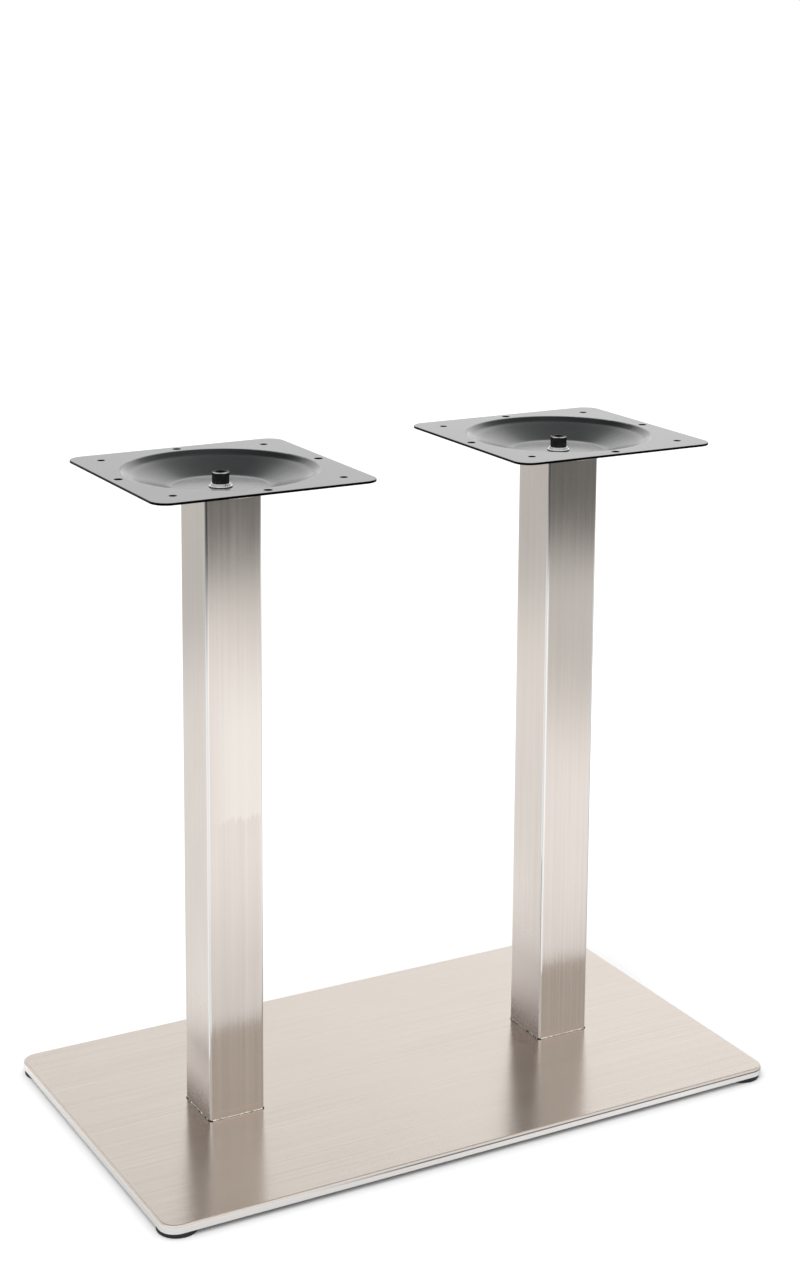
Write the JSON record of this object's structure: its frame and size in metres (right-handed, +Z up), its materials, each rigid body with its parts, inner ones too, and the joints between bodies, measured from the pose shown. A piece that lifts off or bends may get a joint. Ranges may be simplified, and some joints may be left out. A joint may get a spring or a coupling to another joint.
{
  "type": "table base",
  "caption": "Free-standing table base: flat weighted rectangular brushed stainless foot with square columns, each carrying a dished square steel plate to screw to a table top.",
  "frame": {"origin": "on the floor, under the middle of the base", "axes": "+Z up, +X along the long side of the base, +Y across it"},
  "size_m": [0.735, 0.42, 0.72],
  "materials": {
    "base_stainless": "brushed along the long side",
    "column_stainless": "brushed along the column",
    "ballast_paint": "matt black paint",
    "plain_steel": "plain mill finish",
    "black_coat": "satin black powder coat",
    "black_oxide": "black oxide",
    "bright_zinc": "bright zinc plate",
    "glide_plastic": "matt black moulded"
  },
  "bodies": {
    "root": {"base_cover": "base_stainless", "ballast_plate": "ballast_paint", "left_column_tube": "column_stainless", "right_column_tube": "column_stainless", "left_column_top_end_plate": "plain_steel", "right_column_top_end_plate": "plain_steel", "left_column_foot_end_plate": "plain_steel", "right_column_foot_end_plate": "plain_steel", "column_weld_nuts": "plain_steel", "left_top_plate": "black_coat", "right_top_plate": "black_coat", "top_screws": "black_oxide", "spring_washers": "bright_zinc", "flat_washers": "bright_zinc", "base_screws": "black_oxide", "front_left_glide": "glide_plastic", "front_right_glide": "glide_plastic", "back_left_glide": "glide_plastic", "back_right_glide": "glide_plastic", "glide_screws": "bright_zinc"}
  },
  "joints": []
}
